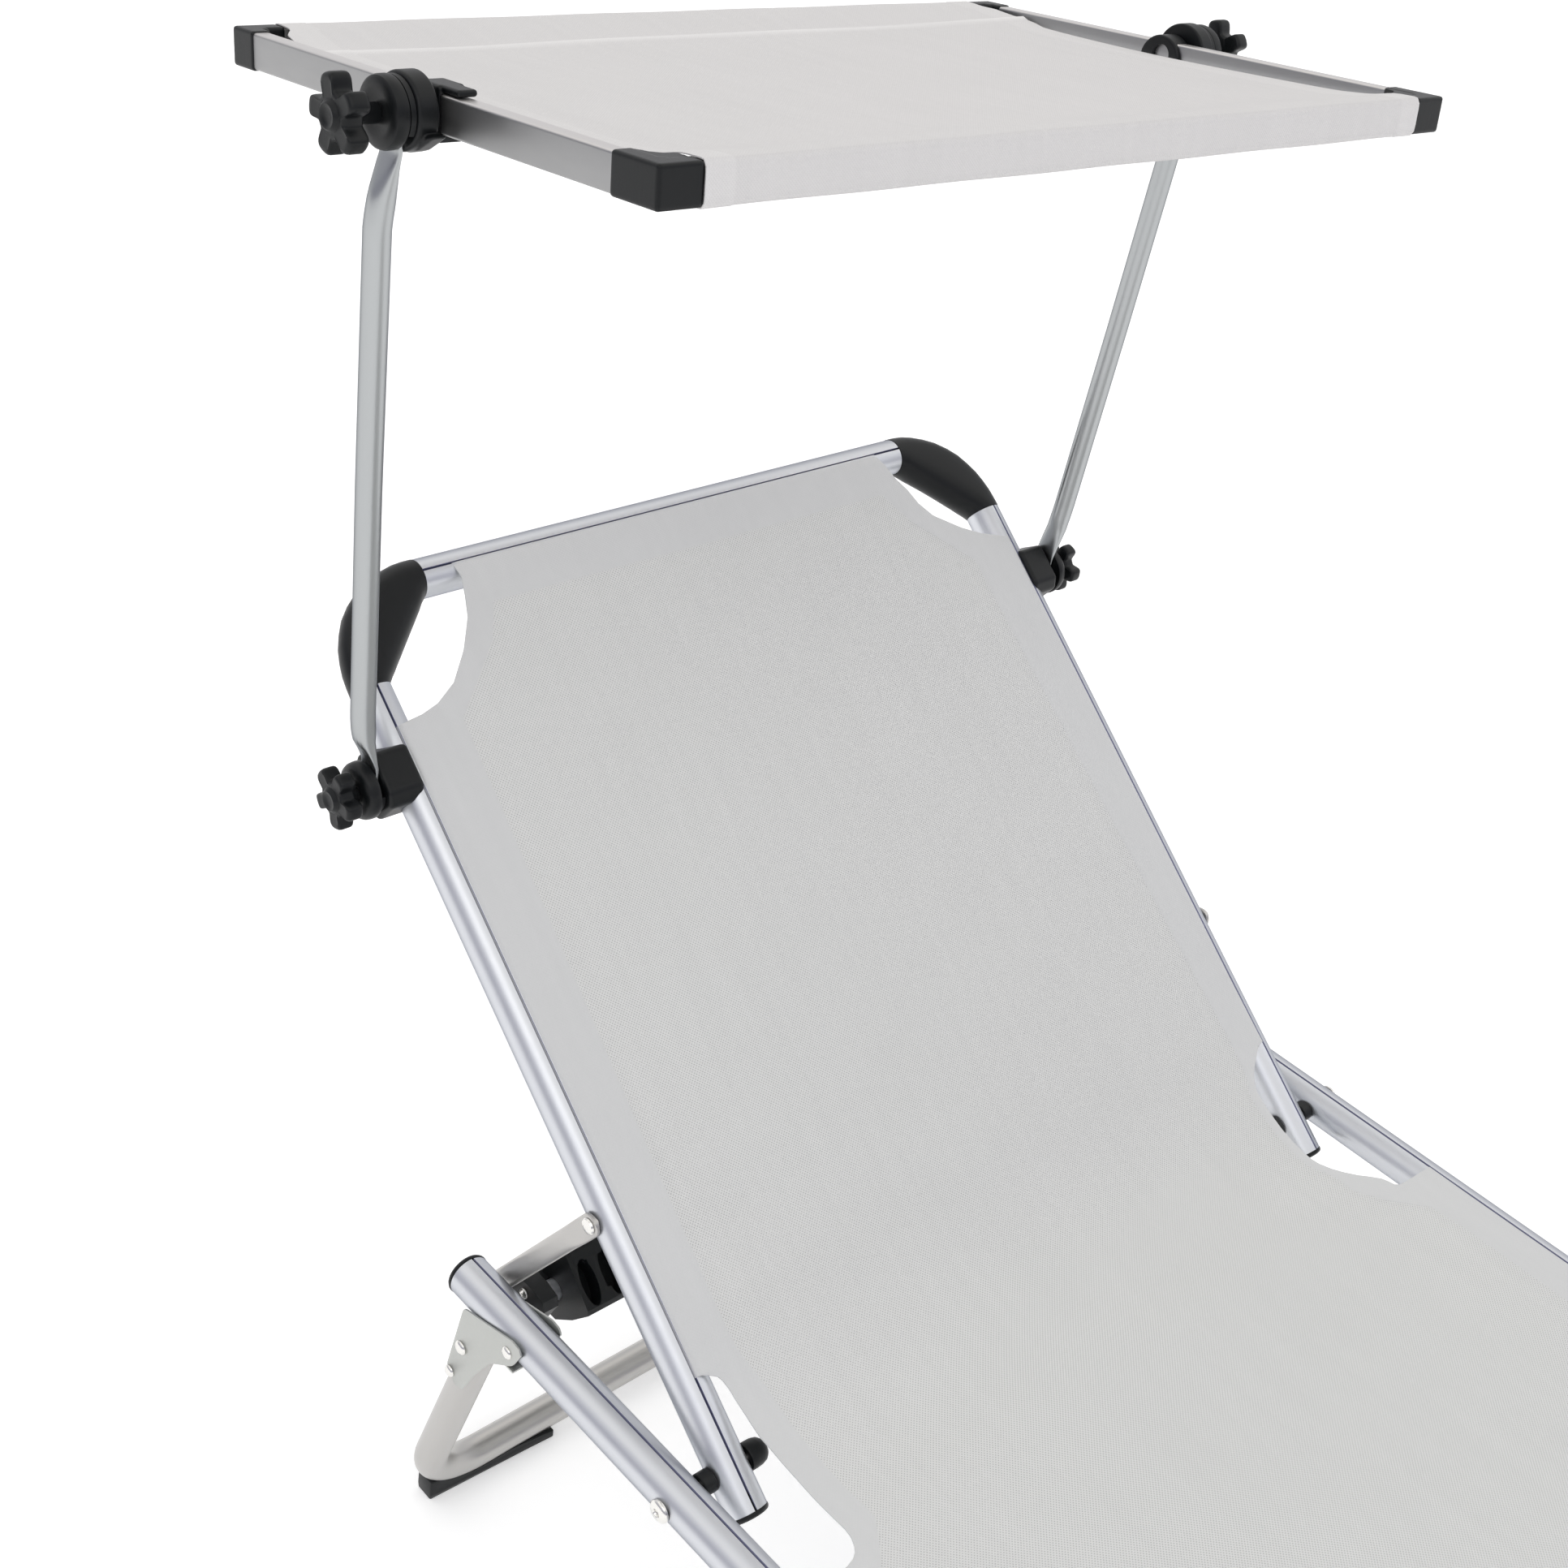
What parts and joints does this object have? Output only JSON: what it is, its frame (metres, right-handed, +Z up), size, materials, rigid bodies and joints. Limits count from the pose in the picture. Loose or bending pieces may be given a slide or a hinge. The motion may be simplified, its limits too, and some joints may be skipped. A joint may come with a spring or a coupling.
{
  "type": "canopy sun lounger",
  "caption": "Folding sun lounger of aluminium tube with a stretched mesh sling, a reclining backrest and an adjustable rectangular sun canopy on two clamped arms.",
  "frame": {"origin": "on the floor, at the centre of the lounger's overall box", "axes": "+Z up, +Y along the lounger towards the head end, +X across it; the picture's near side is -X"},
  "size_m": [0.761, 1.8214, 1.0592],
  "materials": {
    "tube": "satin anodised extruded tube",
    "canopy_bar": "satin rectangular tube",
    "bracket": "zinc-plated sheet, dull",
    "fastener": "bright zinc",
    "black_plastic": "moulded black, soft sheen",
    "sling": "light grey coated mesh with welded hems",
    "canopy_cloth": "light warm grey coated cloth"
  },
  "bodies": {
    "main_frame": {"rail_left": "tube", "rail_right": "tube", "rail_head_cap_left": "black_plastic", "rail_head_cap_right": "black_plastic", "back_pivot_bolt_left": "fastener", "back_pivot_bolt_right": "fastener", "back_pivot_spacer_left": "black_plastic", "back_pivot_spacer_right": "black_plastic", "knee_joint_left": "black_plastic", "knee_joint_right": "black_plastic", "head_leg_bracket_left": "bracket", "head_leg_bracket_right": "bracket", "mid_leg_bracket_left": "bracket", "mid_leg_bracket_right": "bracket", "comb_cross_tube": "tube", "recline_comb_left": "black_plastic", "recline_comb_right": "black_plastic", "seat_fabric": "sling"},
    "backrest": {"back_tube_left": "tube", "back_tube_right": "tube", "back_tube_cap_left": "black_plastic", "back_tube_cap_right": "black_plastic", "head_tube": "tube", "head_elbow_left": "black_plastic", "head_elbow_right": "black_plastic", "backrest_fabric": "sling"},
    "stay": {"stay_bow": "tube"},
    "head_leg": {"head_leg_tube": "tube", "head_leg_foot": "black_plastic"},
    "mid_leg": {"mid_leg_tube": "tube", "mid_leg_foot": "black_plastic"},
    "end_leg": {"end_leg_tube": "tube", "end_leg_foot": "black_plastic"},
    "foot_section": {"foot_tube_left": "tube", "foot_tube_right": "tube", "foot_end_tube": "tube", "foot_elbow_left": "black_plastic", "foot_elbow_right": "black_plastic", "foot_fabric": "sling", "end_leg_bracket_left": "bracket", "end_leg_bracket_right": "bracket"},
    "lower_clamps": {"lower_clamp_left": "black_plastic", "lower_clamp_right": "black_plastic"},
    "canopy_arms": {"canopy_arm_left": "tube", "canopy_arm_right": "tube"},
    "upper_clamps": {"upper_clamp_left": "black_plastic", "upper_clamp_right": "black_plastic"},
    "canopy": {"canopy_bar_left": "canopy_bar", "canopy_bar_right": "canopy_bar", "canopy_front_bar": "canopy_bar", "canopy_rear_bar": "canopy_bar", "canopy_corner_front_left": "black_plastic", "canopy_corner_front_right": "black_plastic", "canopy_corner_rear_left": "black_plastic", "canopy_corner_rear_right": "black_plastic", "canopy_fabric": "canopy_cloth"},
    "lower_knob_l": {"lower_knob_left": "black_plastic"},
    "lower_knob_r": {"lower_knob_right": "black_plastic"},
    "upper_knob_l": {"upper_knob_left": "black_plastic"},
    "upper_knob_r": {"upper_knob_right": "black_plastic"}
  },
  "joints": [
    {"name": "recline", "type": "hinge", "parent": "main_frame", "child": "backrest", "pos_m": [0, 0.33593, 0.274], "axis": [1, 0, 0], "range_deg": [-36.8, 0]},
    {"name": "stay_fold", "type": "hinge", "parent": "backrest", "child": "stay", "pos_m": [0, 0.47153, 0.38303], "axis": [1, 0, 0], "range_deg": [0, 83]},
    {"name": "head_leg_fold", "type": "hinge", "parent": "main_frame", "child": "head_leg", "pos_m": [0, 0.53893, 0.2325], "axis": [-1, 0, 0], "range_deg": [0, 105]},
    {"name": "mid_leg_fold", "type": "hinge", "parent": "main_frame", "child": "mid_leg", "pos_m": [0, -0.15607, 0.2325], "axis": [1, 0, 0], "range_deg": [0, 105]},
    {"name": "knee", "type": "hinge", "parent": "main_frame", "child": "foot_section", "pos_m": [0, -0.26407, 0.274], "axis": [-1, 0, 0], "range_deg": [0, 150]},
    {"name": "end_leg_fold", "type": "hinge", "parent": "foot_section", "child": "end_leg", "pos_m": [0, -0.75007, 0.2325], "axis": [1, 0, 0], "range_deg": [0, 105]},
    {"name": "clamp_slide", "type": "slide", "parent": "backrest", "child": "lower_clamps", "axis": [0, 0.7793, 0.6266], "range_m": [-0.1, 0.02]},
    {"name": "arm_tilt", "type": "hinge", "parent": "lower_clamps", "child": "canopy_arms", "pos_m": [0, 0.71625, 0.57978], "axis": [1, 0, 0], "range_deg": [-20, 50]},
    {"name": "canopy_tilt", "type": "hinge", "parent": "canopy_arms", "child": "upper_clamps", "pos_m": [-0.326, 0.69393, 1.025], "axis": [0.9997, 0.0031, -0.0245], "range_deg": [-25, 30]},
    {"name": "canopy_slide", "type": "slide", "parent": "upper_clamps", "child": "canopy", "axis": [0.0322, 0.9927, -0.1166], "range_m": [-0.1, 0.1]},
    {"name": "lower_knob_left_turn", "type": "hinge", "parent": "lower_clamps", "child": "lower_knob_l", "pos_m": [-0.345, 0.71625, 0.57978], "axis": [1, 0, 0], "continuous": true},
    {"name": "lower_knob_right_turn", "type": "hinge", "parent": "lower_clamps", "child": "lower_knob_r", "pos_m": [0.345, 0.71625, 0.57978], "axis": [1, 0, 0], "continuous": true},
    {"name": "upper_knob_left_turn", "type": "hinge", "parent": "upper_clamps", "child": "upper_knob_l", "pos_m": [-0.326, 0.69393, 1.025], "axis": [0.9997, 0.0031, -0.0245], "continuous": true},
    {"name": "upper_knob_right_turn", "type": "hinge", "parent": "upper_clamps", "child": "upper_knob_r", "pos_m": [0.326, 0.69593, 1.009], "axis": [0.9997, 0.0031, -0.0245], "continuous": true}
  ],
  "couplings": [
    {"joint": "stay_fold", "follows": "recline", "ratio": -2.25}
  ]
}
